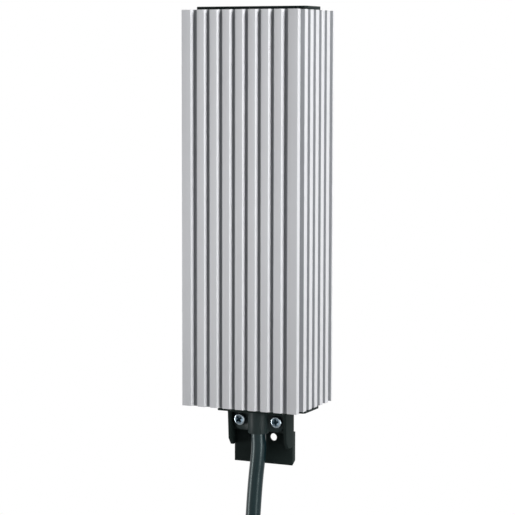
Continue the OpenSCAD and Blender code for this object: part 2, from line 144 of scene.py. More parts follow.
def new_group(name, inputs, outputs):
    """A node group with its named sockets, and the two nodes that hold them inside."""
    group = bpy.data.node_groups.new(name, "ShaderNodeTree")
    for label, kind, value in inputs:
        socket = group.interface.new_socket(label, in_out="INPUT", socket_type=kind)
        if value is not None:
            socket.default_value = value
    for label in outputs:
        group.interface.new_socket(label, in_out="OUTPUT", socket_type="NodeSocketFloat")
    return group, group.nodes.new("NodeGroupInput"), group.nodes.new("NodeGroupOutput")


def noise(group, scale, detail=2):
    """A noise texture with scale patches to a metre and detail finer layers on them."""
    node = group.nodes.new("ShaderNodeTexNoise")
    node.inputs["Scale"].default_value = scale
    node.inputs["Detail"].default_value = detail
    return node


# %% [markdown]
# ### Long lines
# Each small flaw of a die draws a line down the whole extrusion. A picture of such lines
# would stretch at the corners. Noise that is squeezed hard both ways across the metal and
# hardly at all along it gives the same lines on every face. A second, wide noise adds soft
# clouds, because anodised metal is never quite even.

# %% Group of the long lines
along_z = (2500, 2500, 8)
lines_group, entry, leave = new_group(
    "long_lines",
    [("Vector", "NodeSocketVector", None), ("Stretch", "NodeSocketVector", along_z)],
    ["Lines", "Clouds"],
)
squeezed = lines_group.nodes.new("ShaderNodeVectorMath")
squeezed.operation = "MULTIPLY"
line_noise = noise(lines_group, 1, detail=4)
cloud_noise = noise(lines_group, 26, detail=3)
link = lines_group.links.new
link(entry.outputs["Vector"], squeezed.inputs[0])
link(entry.outputs["Stretch"], squeezed.inputs[1])
link(squeezed.outputs["Vector"], line_noise.inputs["Vector"])
link(entry.outputs["Vector"], cloud_noise.inputs["Vector"])
link(line_noise.outputs["Fac"], leave.inputs["Lines"])
link(cloud_noise.outputs["Fac"], leave.inputs["Clouds"])
print("group", lines_group.name, len(lines_group.nodes), "nodes")

# %% [markdown]
# ### Fine grain
# A mould is etched or blasted, and the plastic takes that even roughness from it. Geometry so
# fine would cost millions of faces, and noise gives the same look. It is the same in all
# directions, so it needs a scale and no stretch.

# %% Group of the fine grain
grain_scale = 2600.0
grain_group, entry, leave = new_group(
    "fine_grain",
    [("Vector", "NodeSocketVector", None), ("Scale", "NodeSocketFloat", grain_scale)],
    ["Grain", "Clouds"],
)
grain_noise = noise(grain_group, grain_scale)
cloud_noise = noise(grain_group, 60)
link = grain_group.links.new
link(entry.outputs["Vector"], grain_noise.inputs["Vector"])
link(entry.outputs["Scale"], grain_noise.inputs["Scale"])
link(entry.outputs["Vector"], cloud_noise.inputs["Vector"])
link(grain_noise.outputs["Fac"], leave.inputs["Grain"])
link(cloud_noise.outputs["Fac"], leave.inputs["Clouds"])
print("group", grain_group.name, len(grain_group.nodes), "nodes")

# %% [markdown]
# ### Painted shade in the grooves
# The floors of the grooves are painted darker than the crests: a painted shade for the light
# that is lost between the flanks, beyond the lamps' own shadows. This could be painted on each
# face by hand. It is worked out instead, from how far a point lies below the front, the back
# and the nearer side, so it is right on every rib. The outcome is 0 on a crest and 1 on a
# floor, and a little painted shade lies on the front of the broad corner block.

# %% Small sums in a node tree


def number(tree, operation, first, second=None):
    """A math node fed by sockets or plain numbers."""
    node = tree.nodes.new("ShaderNodeMath")
    node.operation = operation
    for socket, value in zip(node.inputs, (first, second)):
        if isinstance(value, bpy.types.NodeSocket):
            tree.links.new(value, socket)
        elif value is not None:
            socket.default_value = value
    return node.outputs["Value"]


def ramp(tree, value, limits, results, interpolation="LINEAR"):
    """Goes from the first result to the second while the value goes from limit to limit."""
    node = tree.nodes.new("ShaderNodeMapRange")
    node.interpolation_type = interpolation
    node.inputs["From Min"].default_value, node.inputs["From Max"].default_value = limits
    node.inputs["To Min"].default_value, node.inputs["To Max"].default_value = results
    tree.links.new(value, node.inputs["Value"])
    return node.outputs["Result"]


# %% How far a point lies below each face
painted_shade_group, entry, leave = new_group(
    "painted_groove_shade",
    [
        ("Vector", "NodeSocketVector", None),
        ("Half width", "NodeSocketFloat", width / 2 * MM),
        ("Half depth", "NodeSocketFloat", depth / 2 * MM),
    ],
    ["Hollow"],
)
split = painted_shade_group.nodes.new("ShaderNodeSeparateXYZ")
painted_shade_group.links.new(entry.outputs["Vector"], split.inputs["Vector"])
sideways = number(painted_shade_group, "SUBTRACT", split.outputs["X"], middle.x)
across = number(painted_shade_group, "ABSOLUTE", sideways)
backward = number(painted_shade_group, "SUBTRACT", split.outputs["Y"], middle.y)
below_side = number(painted_shade_group, "SUBTRACT", entry.outputs["Half width"], across)
below_front = number(painted_shade_group, "ADD", entry.outputs["Half depth"], backward)
below_back = number(painted_shade_group, "SUBTRACT", entry.outputs["Half depth"], backward)
print("faces lie", round(width / 2, 1), "and", round(depth / 2, 1), "mm from the middle")

# %% From those depths to one painted shade
# Each row: a depth, the two limits in millimetres, and the painted shade at each of them.
painted_groove_rows = [
    (below_front, (1.35, 1.75), (0, 1)),  # the floors of the front's grooves
    (below_back, (1.0, 1.4), (0, 1)),  # the floors of the back's
    (below_side, (0.05, 0.3), (0, 1)),  # but not the crests of the side ribs
    (below_side, (3.0, 5.0), (0.84, 1)),  # and the side grooves a little less
]
# Painted shade: the front face of the broad corner block is painted slightly darker.
painted_corner_rows = [
    (below_side, (5.0, 11.0), (0.14, 0)),  # the broad corner block, slightly
    (below_side, (0.02, 0.1), (0, 1)),  # but not its side face
    (below_front, (0.3, 1.0), (1, 0)),  # and only on the front
]


def all_of(rows):
    """The shades of all the rows, multiplied."""
    product = 1
    for below, limits_mm, shades in rows:
        limits = [v * MM for v in limits_mm]
        shade = ramp(painted_shade_group, below, limits, shades)
        product = number(painted_shade_group, "MULTIPLY", product, shade)
    return product


painted_shade = number(painted_shade_group, "ADD", all_of(painted_groove_rows), all_of(painted_corner_rows))
painted_shade_group.links.new(painted_shade, leave.inputs["Hollow"])
print("group", painted_shade_group.name, len(painted_shade_group.nodes), "nodes")

# %% [markdown]
# ## The finishes
# Most finishes here differ only in colour, gloss and grain. Each could be put together node
# by node, but one function keeps them alike: a principled shader whose colour follows the
# clouds, and whose roughness and bump follow the lines or the grain. What is the same all
# over is set on the shader itself.

# %% A function for a finish
noise_span = (0.3, 0.7)  # noise seldom goes lower or higher
bump_strength = 0.6
finishes = {}


def finish(slot, colour, other, rough, metal=0.0, specular=0.5, scale=grain_scale,
           lines=None, bump_mm=0.01):
    """colour and other are two shades that the clouds mix; rough is (low, high). The surface
    has fine grain of that scale, or fine lines, given by how much they are squeezed each way."""
    material = bpy.data.materials.new(slot)
    material.use_nodes = True
    tree = material.node_tree
    nodes, link = tree.nodes, tree.links.new
    shader = nodes["Principled BSDF"]
    shader.inputs["Metallic"].default_value = metal
    shader.inputs["Specular IOR Level"].default_value = specular
    place = nodes.new("ShaderNodeTexCoord")
    texture = nodes.new("ShaderNodeGroup")
    texture.node_tree = lines_group if lines else grain_group
    link(place.outputs["Object"], texture.inputs["Vector"])
    if lines:
        texture.inputs["Stretch"].default_value = lines
    else:
        texture.inputs["Scale"].default_value = scale
    detail = texture.outputs["Lines" if lines else "Grain"]
    shade = nodes.new("ShaderNodeMix")
    shade.data_type = "RGBA"
    shade.inputs["A"].default_value = (*colour, 1)
    shade.inputs["B"].default_value = (*other, 1)
    link(texture.outputs["Clouds"], shade.inputs["Factor"])
    link(shade.outputs["Result"], shader.inputs["Base Color"])
    link(ramp(tree, detail, noise_span, rough), shader.inputs["Roughness"])
    bump = nodes.new("ShaderNodeBump")
    bump.inputs["Strength"].default_value = bump_strength
    bump.inputs["Distance"].default_value = bump_mm * MM
    link(detail, bump.inputs["Height"])
    link(bump.outputs["Normal"], shader.inputs["Normal"])
    finishes[slot] = material
    return material


# %% [markdown]
# ### The aluminium
# The extrusion is anodised. Its skin of clear oxide scatters light, so it looks more like
# pale satin paint than like a mirror. A fully metallic shader would turn the crests dark
# wherever nothing bright is mirrored, so metallic is low here and the colour does the work.
# The sawn ends keep the lines of the saw, which run from front to back.

# %% Finishes of the extrusion
along_y = (2200, 40, 40)
aluminium = finish("anodised_aluminium", (0.622, 0.628, 0.650), (0.672, 0.678, 0.700),
                   (0.48, 0.58), metal=0.1, specular=0.2, lines=along_z, bump_mm=0.02)
finish("sawn_aluminium", (0.58, 0.58, 0.59), (0.66, 0.66, 0.67), (0.35, 0.55), metal=0.3,
       specular=0.2, lines=along_y, bump_mm=0.03)
print("finishes", list(finishes))

# %% Paint shade into the grooves
# Painted shade: the floors of the grooves are painted darker, down to this tint of the colour.
painted_shade_colour = (0.41, 0.425, 0.435, 1)
nodes, link = aluminium.node_tree.nodes, aluminium.node_tree.links.new
shader = nodes["Principled BSDF"]
even_colour = shader.inputs["Base Color"].links[0].from_socket
painted_shade_node = nodes.new("ShaderNodeGroup")
painted_shade_node.node_tree = painted_shade_group
painted_shade_mix = nodes.new("ShaderNodeMix")
painted_shade_mix.data_type, painted_shade_mix.blend_type = "RGBA", "MULTIPLY"
painted_shade_mix.inputs["B"].default_value = painted_shade_colour
link(nodes["Texture Coordinate"].outputs["Object"], painted_shade_node.inputs["Vector"])
link(painted_shade_node.outputs["Hollow"], painted_shade_mix.inputs["Factor"])
link(even_colour, painted_shade_mix.inputs["A"])
link(painted_shade_mix.outputs["Result"], shader.inputs["Base Color"])
print("the grooves' floors keep", painted_shade_colour[:3], "of the colour")

# %% [markdown]
# ### The plastics and the cable's sheath
# Foot, caps and clamp are filled black plastic, which is matt. Black isn't zero: real black
# plastic sends back one or two hundredths of the light, and a zero would hide all form. The
# sheath is softer and glossier, and shows two long bright lines. Its gloss is given a slight
# blue-green tint, because the light on it looks cooler than on the metal.

# %% Finishes of the plastics
finish("black_plastic", (0.012, 0.0185, 0.0175), (0.015, 0.022, 0.021), (0.42, 0.54),
       specular=0.05, bump_mm=0.02)
finish("clamp_plastic", (0.020, 0.032, 0.032), (0.024, 0.036, 0.036), (0.36, 0.46),
       specular=0.14, bump_mm=0.015)
finish("tie_plastic", (0.012, 0.012, 0.013), (0.016, 0.016, 0.017), (0.30, 0.42),
       specular=0.2, bump_mm=0.01)
sheath = finish("cable_sheath", (0.002, 0.012, 0.015), (0.004, 0.015, 0.018), (0.27, 0.32),
                specular=0.35, bump_mm=0.002)
cool_gloss = (0.84, 1.0, 1.0, 1)
sheath.node_tree.nodes["Principled BSDF"].inputs["Specular Tint"].default_value = cool_gloss
print("finishes", list(finishes)[-4:])

# %% [markdown]
# ### The screws
# The screws are steel with a bright bluish coat of zinc. This is bare metal, so it is fully
# metallic and takes its look from what it mirrors. The floor of the head's dish and the cross
# in it lie too deep to mirror the lamps, so on a real screw they look dark. They are only a
# few pixels wide, where chance reflections would decide, so the two get darker finishes.

# %% Finishes of the screws
finish("zinc_steel", (0.40, 0.47, 0.52), (0.48, 0.55, 0.60), (0.17, 0.25), metal=1.0,
       scale=900.0, bump_mm=0.01)
# Painted shade: the dish's floor and the cross get darker finishes than the zinc.
finish("painted_shade_zinc", (0.085, 0.115, 0.140), (0.110, 0.145, 0.175), (0.30, 0.45), metal=1.0,
       scale=900.0, bump_mm=0.01)
finish("screw_recess", (0.018, 0.050, 0.072), (0.028, 0.072, 0.100), (0.35, 0.50),
       specular=0.15, bump_mm=0.005)
print("finishes", list(finishes)[-3:])

# %% [markdown]
# ### The cores and the heating stack
# The three coloured cores show at the cable's free end, with tinned ferrules on them. The
# rest shows when the caps come off: the ceramic stones in their plastic frame, the
# electrodes, and the brown film round them. No picture shows these pieces, so each gets the
# plain finish of its material and nothing is made up on it.

# %% Finishes of the inner pieces
core_gloss = (0.32, 0.42)
finish("brown_core", (0.13, 0.05, 0.025), (0.15, 0.06, 0.03), core_gloss, bump_mm=0.005)
finish("blue_core", (0.02, 0.12, 0.42), (0.03, 0.15, 0.47), core_gloss, bump_mm=0.005)
finish("green_yellow_core", (0.75, 0.62, 0.03), (0.70, 0.60, 0.03), core_gloss, bump_mm=0.005)
finish("tinned_copper", (0.70, 0.69, 0.66), (0.78, 0.77, 0.74), (0.25, 0.38), metal=1.0,
       bump_mm=0.005)
finish("stone_ceramic", (0.34, 0.31, 0.27), (0.26, 0.23, 0.20), (0.55, 0.75), scale=1800.0,
       bump_mm=0.02)
finish("frame_plastic", (0.62, 0.52, 0.34), (0.68, 0.58, 0.40), (0.45, 0.55), bump_mm=0.01)
finish("electrode_aluminium", (0.72, 0.70, 0.66), (0.78, 0.76, 0.72), (0.30, 0.42), metal=1.0,
       lines=(1200, 1200, 8), bump_mm=0.01)
finish("sleeve_film", (0.55, 0.24, 0.04), (0.62, 0.29, 0.06), (0.18, 0.28), bump_mm=0.003)
print("finishes", len(finishes), "in all")

# %% [markdown]
# ## The cable
# It comes straight down out of the clamp, drifts a little to the left and then, below the
# picture's edge, is folded into a hank: down, round the lower loop, up, round the upper loop
# behind itself and down again to a free end. A simulated rope would fall in a heap, but a
# hank is tied by hand and lies as it was folded. So the free run is a list of points given,
# the same as in the CAD, and the loops are worked out. Each is a round fold with a
# gentler bend on either side that leads back to the waist, where the tie holds the runs.

# %% Sizes of the cable and its hank
cable_r = 4.3
cable_front, cable_behind = 1.1, 9.7  # how far back the front runs and the last run lie
hank_x, hank_top, hank_l = -4, -70, 144
fold_r = 25.8
waist_x = 4.4  # from the hank's middle to a run at the waist
tail_below = 6  # from the hank's lower end to the sheath's end

lobe_off = hank_l / 2 - fold_r - cable_r
hank_mid = hank_top - hank_l / 2
tail_z = hank_top - hank_l - tail_below
side_r = (waist_x**2 + lobe_off**2 - fold_r**2) / (2 * (fold_r - waist_x))
side_turn = math.atan2(lobe_off, waist_x + side_r)
print("bend beside a fold", round(side_r, 1), "mm, over", round(math.degrees(side_turn)), "deg")

# %% The hank's loops
side_steps, fold_steps = 3, 16


def arc(x, z, radius, start, end, steps):
    """Points round a centre, from one angle to another, without the first."""
    turns = [start + (end - start) * i / steps for i in range(1, steps + 1)]
    return [(x + radius * math.cos(t), z + radius * math.sin(t)) for t in turns]


def loop(way):
    """One end of the hank in x and height: way is -1 for the lower end and 1 for the upper."""
    side_x = waist_x + side_r
    points = arc(-side_x, -lobe_off, side_r, 0, side_turn, side_steps)
    points += arc(0, 0, fold_r, math.pi + side_turn, -side_turn, fold_steps)
    points += arc(side_x, -lobe_off, side_r, math.pi - side_turn, math.pi, side_steps)
    if way < 0:
        return [(hank_x + x, hank_mid - lobe_off - z) for x, z in points]
    return [(hank_x - x, hank_mid + lobe_off + z) for x, z in points]


# %% The whole route
down_to_hank = [
    (0, -4), (0, -17), (0.2, -25), (-0.5, -34), (-1.4, -42), (-2.6, -56), (-3.2, -65), (-4, -75),
]
to_waist = [(-4.5, -90), (-6, -107), (-7.6, -124)]
tail = [(-7.9, -152), (-6.6, -170), (-5.1, -188), (-4.2, -201), (-4, tail_z)]
behind_after = 9  # points of the upper loop until the cable lies behind


def eased(share):
    """Goes from 0 to 1 with a soft start and a soft end."""
    return share * share * (3 - 2 * share)


front_stretch = down_to_hank + to_waist + [(hank_x - waist_x, hank_mid)] + loop(-1)
route = [at(x, cable_front, z) for x, z in front_stretch]
for i, (x, z) in enumerate(loop(1)):
    back_share = eased(min((i + 1) / behind_after, 1))
    route.append(at(x, cable_front + (cable_behind - cable_front) * back_share, z))
route += [at(x, cable_behind, z) for x, z in tail]
print("route of", len(route), "points")

# %% [markdown]
# A curve with a round section follows such points smoothly, and its radius and its route
# stay easy to change, which those of a mesh tube don't.

# %% A smooth lead


def smooth_tube(name, points, radius_mm):
    """A round lead through points of the frame, closed at both ends."""
    data = bpy.data.curves.new(name, "CURVE")
    data.dimensions, data.resolution_u = "3D", 6
    data.bevel_depth, data.bevel_resolution = radius_mm * MM, 8
    data.use_fill_caps = True
    spline = data.splines.new("BEZIER")
    spline.bezier_points.add(len(points) - 1)
    for knot, point in zip(spline.bezier_points, points):
        knot.co = point
        knot.handle_left_type = knot.handle_right_type = "AUTO"
    return in_scene(name, data)


# %% [markdown]
# A finished piece rides on the heater's one body, names the finish that it takes, and says
# which CAD nodes it stands for, which then aren't drawn themselves. A piece that already has
# several finishes, such as the extrusion with its sawn ends, keeps them.

# %% Lay the cable


def finished(piece, slot, *nodes):
    """Gives the piece its finish, lets it ride on the heater and stand for its CAD nodes."""
    if not any(piece.data.materials):
        piece.data.materials.clear()
        piece.data.materials.append(finishes[slot])
    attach(piece, "root")
    if nodes:
        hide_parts(*nodes)
    return piece


cable = finished(
    smooth_tube("cable", route, cable_r), "cable_sheath", "mains_cable", "cable_hank"
)

# %% [markdown]
# ## Selecting
# Blender's operators act on whatever is selected, and the loaded CAD nodes start out
# selected. Mesh data can be changed without any operator, but then nobody could follow it in
# Blender's own window. So a piece is made the only selected one before anything is done to it.

# %% Select one piece


def nothing_selected():
    bpy.ops.object.select_all(action="DESELECT")


def only(piece):
    nothing_selected()
    piece.select_set(True)
    bpy.context.view_layer.objects.active = piece


def in_edit_mode(piece, select="SELECT"):
    only(piece)
    bpy.ops.object.mode_set(mode="EDIT")
    bpy.ops.mesh.select_all(action=select)


# %% [markdown]
# ## Softening
# No real edge is sharp. A mould, a die or a press leaves a small radius, and it catches the
# light. Edges could be picked and bevelled one by one, but the bevel modifier rounds all the
# sharp ones alike. Where it pushes points together, they are merged again.

# %% Soften a piece's edges
touching_mm, no_length_mm = 0.002, 0.001


def edges_softened(piece, width_mm, sharper_than=35):
    """Rounds every edge that is sharper than an angle, as tools and moulds leave them."""
    only(piece)
    modifier = piece.modifiers.new("edges", "BEVEL")
    modifier.width, modifier.segments = width_mm * MM, 2
    modifier.limit_method, modifier.angle_limit = "ANGLE", math.radians(sharper_than)
    modifier.use_clamp_overlap = False
    bpy.ops.object.modifier_apply(modifier=modifier.name)
    in_edit_mode(piece)
    bpy.ops.mesh.remove_doubles(threshold=touching_mm * MM)
    bpy.ops.mesh.dissolve_degenerate(threshold=no_length_mm * MM)
    bpy.ops.object.mode_set(mode="OBJECT")
    bpy.ops.object.shade_smooth_by_angle(angle=math.radians(sharper_than))
    return piece


# %% [markdown]
# ## The tie's strap
# The tie is a flat nylon strap pulled tight round the three runs. A bent box would need many
# cuts to follow them. Instead one line is drawn round the runs, as an arc about each, then
# extruded upwards into a band and given its thickness outwards.

# %% The line round the three runs
strap_t, strap_h = 1.3, 4.8
arc_steps = 10


def strap_line():
    """The strap's lower inner edge, once round the runs."""
    corners = [
        (hank_x - waist_x, cable_front, -180, -90),
        (hank_x + waist_x, cable_front, -90, 45),
        (hank_x - waist_x, cable_behind, 45, 180),
    ]
    points = []
    for x, y, start, end in corners:
        for i in range(arc_steps + 1):
            turn = math.radians(start + (end - start) * i / arc_steps)
            points.append(at(x + cable_r * math.cos(turn), y + cable_r * math.sin(turn),
                             hank_mid - strap_h / 2))
    return points


line = strap_line()
strap_mesh = bpy.data.meshes.new("tie_strap")
strap_mesh.from_pydata(line, [(i, (i + 1) % len(line)) for i in range(len(line))], [])
strap = in_scene("tie_strap", strap_mesh)
print("strap's line", len(line), "points")

# %% Draw the strap up and give it its thickness
in_edit_mode(strap)
bpy.ops.mesh.extrude_region_move(TRANSFORM_OT_translate={"value": (0, 0, strap_h * MM)})
bpy.ops.mesh.select_all(action="SELECT")
bpy.ops.mesh.normals_make_consistent(inside=False)
bpy.ops.object.mode_set(mode="OBJECT")
wall = strap.modifiers.new("wall", "SOLIDIFY")
wall.thickness, wall.offset = strap_t * MM, 1
bpy.ops.object.modifier_apply(modifier=wall.name)
edges_softened(strap, width_mm=0.2)
finished(strap, "tie_plastic", "cable_tie")
print("strap", len(strap.data.polygons), "faces")

# %% [markdown]
# ## The tie's lock
# The lock is a small moulded box on the front, with a slot that the strap's end comes out of,
# cut off just inside it. Box, slot and end could be drawn in one mesh, but as three boxes,
# one cut from the other and one joined to it, each keeps its own size.

# %% Blocks, joined and cut


def applied(piece):
    """Puts the piece's place, turn and scale into its mesh."""
    only(piece)
    bpy.ops.object.transform_apply(location=True, rotation=True, scale=True)
    return piece


def just_added(name):
    """The primitive that was added last, named and with its place in its mesh."""
    piece = bpy.context.object
    piece.name = piece.data.name = name
    return applied(piece)


def block(name, low, high):
    """A box between two corners, given as points of the frame."""
    nothing_selected()
    bpy.ops.mesh.primitive_cube_add(size=1, location=(low + high) / 2, scale=high - low)
    return just_added(name)


def combined(piece, tool, way):
    """Joins the tool to the piece or cuts the piece with it, and throws the tool away. The
    faces that the tool leaves keep the tool's finish."""
    only(piece)
    modifier = piece.modifiers.new("combine", "BOOLEAN")
    modifier.operation, modifier.solver, modifier.object = way, "EXACT", tool
    modifier.material_mode = "TRANSFER"
    bpy.ops.object.modifier_apply(modifier=modifier.name)
    bpy.data.objects.remove(tool)
    return piece


# %% Make the lock
lock_half_w, lock_half_h, lock_depth = 3.5, 3, 4
sunk_in = 0.1  # into the strap behind it
slot_half_w, slot_play = 1, 0.1
slot_from, slot_to = -1, 1.8  # it starts before the lock's front, so that it is open
end_from, end_to = 0.4, 2  # the strap's cut end, behind the lock's front
lock_front = cable_front - cable_r - strap_t - lock_depth


def lock_box(name, half_x, half_z, start, end):
    """A box of the lock: how far it reaches each way, and from where to where behind the
    lock's front."""
    return block(name, at(hank_x - half_x, lock_front + start, hank_mid - half_z),
                 at(hank_x + half_x, lock_front + end, hank_mid + half_z))


lock = lock_box("tie_lock", lock_half_w, lock_half_h, 0, lock_depth + sunk_in)
slot = lock_box("lock_slot", slot_half_w, strap_h / 2 + slot_play, slot_from, slot_to)
strap_end = lock_box("strap_end", strap_t / 2, strap_h / 2, end_from, end_to)
combined(lock, slot, "DIFFERENCE")
combined(lock, strap_end, "UNION")
edges_softened(lock, width_mm=0.25)
finished(lock, "tie_plastic", "cable_tie")
print("lock", len(lock.data.polygons), "faces")

# %% [markdown]
# ## The free end
# The sheath stops here and three thin cores fan out, each closed by a crimped ferrule: a
# collar, a short taper and a thin barrel. A turned piece like that can be spun from its
# outline. Here a short round bar is added, and its end face is drawn out step by step to each
# new radius, which is how one would do it by hand. The screws are made the same way.

# %% Round bars, drawn out
flat_on = 0.9  # a face looks along Z when this much of its normal does


def rod(name, start, end, radius_mm, sides=48):
    """A round bar from one point to another."""
    nothing_selected()
    axis = end - start
    bpy.ops.mesh.primitive_cylinder_add(
        vertices=sides, radius=radius_mm * MM, depth=axis.length,
        location=(start + end) / 2, rotation=axis.to_track_quat("Z", "Y").to_euler(),
    )
    return just_added(name)


def end_selected(piece, way):
    """Opens the piece for editing with the flat face selected that looks along way in Z."""
    in_edit_mode(piece, "DESELECT")
    bpy.ops.object.mode_set(mode="OBJECT")
    for face in piece.data.polygons:
        face.select = face.normal.z * way > flat_on
    bpy.ops.object.mode_set(mode="EDIT")
    bpy.ops.mesh.select_mode(type="FACE")


def drawn_out(piece, way, radius_mm, steps):
    """Draws an end face out in steps, each given as its new radius and its length."""
    end_selected(piece, way)
    for new_radius_mm, length_mm in steps:
        bpy.ops.mesh.extrude_region_move(
            TRANSFORM_OT_translate={"value": (0, 0, way * length_mm * MM)}
        )
        ratio = new_radius_mm / radius_mm
        bpy.ops.transform.resize(value=(ratio, ratio, 1))
        radius_mm = new_radius_mm
    bpy.ops.object.mode_set(mode="OBJECT")
    return piece


# %% The cores and their ferrules
core_r, core_end_l, core_steps = 0.95, 30, 8
collar_r, collar_l = 1.5, 2
taper_l, barrel_r, barrel_l = 2, 0.82, 7


def core_route(start, spread):
    """The way of one core out of the sheath: down, easing over to its own side."""
    points = []
    for i in range(core_steps + 1):
        share = i / core_steps
        x, y = (s + d * eased(share) for s, d in zip(start, spread))
        points.append(at(hank_x + x, cable_behind + y, tail_z - core_end_l * share))
    return points


# Each row: the CAD node, its finish, and where the core starts and how far it spreads.
for node, slot, start, spread in [
    ("live_end", "brown_core", (-1.6, 0), (-7, 0)),
    ("neutral_end", "blue_core", (1.6, 0), (7, 0)),
    ("earth_end", "green_yellow_core", (0, 2), (0, 5)),
]:
    points = core_route(start, spread)
    finished(smooth_tube("core_" + node, points, core_r), slot, node)
    top = points[-1]
    ferrule = rod("ferrule_" + node, top, top - Vector((0, 0, collar_l * MM)), collar_r, 24)
    drawn_out(ferrule, -1, collar_r, [(barrel_r, taper_l), (barrel_r, barrel_l)])
    edges_softened(ferrule, width_mm=0.12, sharper_than=30)
    finished(ferrule, "tinned_copper", "core_ferrules")

# %% [markdown]
# The cable is the one loose thing on the heater.

# %% [markdown]
# ## The extrusion
# Aluminium comes out of the die with sharp but not razor edges. The section could be drawn
# again here, but the CAD node has it exactly. So its mesh is copied, its loose triangles are
# merged into whole faces, and its edges are softened by a tenth of a millimetre, which lets
# the long crests catch the light. The two sawn ends get their own finish.

# %% Copy a CAD node's mesh
same_plane_deg = 1


def cleaned(piece):
    """Merges loose triangles and melts flat areas into whole faces."""
    in_edit_mode(piece)
    bpy.ops.mesh.remove_doubles(threshold=no_length_mm * MM)
    bpy.ops.mesh.dissolve_limited(angle_limit=math.radians(same_plane_deg))
    bpy.ops.mesh.normals_make_consistent(inside=False)
    bpy.ops.object.mode_set(mode="OBJECT")
    return piece


def node_copy(node, name):
    """A merged copy of a CAD node's mesh, to be finished by hand."""
    piece = in_scene(name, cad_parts[node].data.copy())
    piece.data.name = name
    piece.data.materials.clear()
    return cleaned(piece)


# %% Finish the extrusion
profile = edges_softened(node_copy("heatsink_profile", "ribbed_extrusion"), width_mm=0.1)
profile.data.materials.append(finishes["anodised_aluminium"])
profile.data.materials.append(finishes["sawn_aluminium"])
for face in profile.data.polygons:
    face.material_index = 1 if abs(face.normal.z) > flat_on else 0
finished(profile, "anodised_aluminium", "heatsink_profile")
print("extrusion", len(profile.data.polygons), "faces")

# %% [markdown]
# ## The moulded pieces
# Two caps close the extrusion's ends, the lower one in one piece with the foot, and the clamp
# holds the cable on the foot. Plastic leaves the mould with small radii on every outside
# edge. A subdivided surface would swell the flat walls. So the three take their shape from
# the CAD nodes, and only the radii are added.

# %% Finish the moulded pieces
for node, name, slot, radius_mm in [
    ("top_cap", "upper_cap", "black_plastic", 0.25),
    ("bottom_cap", "lower_cap_and_foot", "black_plastic", 0.2),
    ("cable_clamp", "strain_relief", "clamp_plastic", 0.2),
]:
    piece = edges_softened(node_copy(node, name), radius_mm)
    finished(piece, slot, node)
    print(name, len(piece.data.polygons), "faces")

# %% [markdown]
# ## The screws
# A screw is upset from wire. Its pan head has a flat edge, a round shoulder and a low cap
# like a slice of a ball. Such a head can be spun from its outline. Drawing the edge out ring
# by ring needs no outline, and the rings follow from the radius of the shoulder and the
# angle at which the cap begins.

# %% The rings of a pan head
ring_count = 5
tip_slope = 0.05  # radians, which leaves a small flat face on top


def head_rings(edge_r, shoulder_r, cap_deg):
    """Steps up a pan head: a round shoulder that runs into the flat cap of a ball."""
    parts = range(ring_count + 1)
    turns = [math.radians((90 - cap_deg) * i / ring_count) for i in parts]
    rings = [
        (edge_r - shoulder_r * (1 - math.cos(b)), shoulder_r * (math.sin(b) - math.sin(a)))
        for a, b in zip(turns, turns[1:])
    ]
    ball_r = rings[-1][0] / math.sin(math.radians(cap_deg))
    slopes = [math.radians(cap_deg * (1 - i / ring_count)) for i in parts[:-1]] + [tip_slope]
    return rings + [
        (ball_r * math.sin(b), ball_r * (math.cos(b) - math.cos(a)))
        for a, b in zip(slopes, slopes[1:])
    ]


# %% [markdown]
# The punch presses a cross into the head, and round it a shallow dish. Both are real hollows
# here, so they look right from any side, and the faces that they leave carry painted shade, as
# darker finishes. Each is cut with a tool that already has the hollow's finish, because the
# cut takes it over.

# %% The dish and the cross
tool_above = 0.2  # how far a cutting tool stands above the head
cross_middle, cross_taper = 0.3, 0.6  # its round middle and its foot, as shares of its span


def dished(screw, top_mm, radius_mm, depth_mm):
    """Presses a shallow round dish into the head, round its cross, its floor darker as painted
    shade.
    """
    tool = rod("dish", Vector((0, 0, top_mm - depth_mm)) * MM,
               Vector((0, 0, top_mm + tool_above)) * MM, radius_mm)
    tool.data.materials.append(finishes["painted_shade_zinc"])
    return combined(screw, tool, "DIFFERENCE")


def cross_cut(screw, top_mm, span_mm, wing_mm, depth_mm):
    """Presses a tapered cross with a round middle into the head, from its top down."""
    floor_mm, above_mm = top_mm - depth_mm, top_mm + tool_above
    tool = rod("cross", Vector((0, 0, floor_mm)) * MM, Vector((0, 0, above_mm)) * MM,
               cross_middle * span_mm, 24)
    tool.data.materials.append(finishes["screw_recess"])
    for x, y in ((span_mm, wing_mm), (wing_mm, span_mm)):
        wing = block("wing", Vector((-x / 2, -y / 2, floor_mm)) * MM,
                     Vector((x / 2, y / 2, above_mm)) * MM)
        combined(tool, wing, "UNION")
    end_selected(tool, -1)
    bpy.ops.transform.resize(value=(cross_taper, cross_taper, 1))
    bpy.ops.object.mode_set(mode="OBJECT")
    return combined(screw, tool, "DIFFERENCE")


# %% [markdown]
# Each kind of screw is modelled once, upright at the frame's origin with the head's underside
# at zero, where its sizes are easy to give. The screws in the heater are copies, each with a
# mesh of its own, laid into their holes.

# %% Make a screw and copy it


def new_screw(name, edge_r, edge_h, head, neck, cross, dish=None):
    """A head's edge, drawn out to its cap above and to its neck and shank below. The cross
    is given by its span, the width of a wing and its depth, the dish by radius and depth."""
    screw = rod(name, Vector((0, 0, 0)), Vector((0, 0, edge_h * MM)), edge_r)
    if head:
        drawn_out(screw, 1, edge_r, head)
    drawn_out(screw, -1, edge_r, neck)
    screw.data.materials.append(finishes["zinc_steel"])
    top_mm = edge_h + sum(rise for _, rise in head)
    if dish:
        dished(screw, top_mm, *dish)
    cross_cut(screw, top_mm, *cross)
    print(name, "head", 2 * edge_r, "x", round(top_mm, 2), "mm")
    return edges_softened(screw, width_mm=0.06, sharper_than=40)


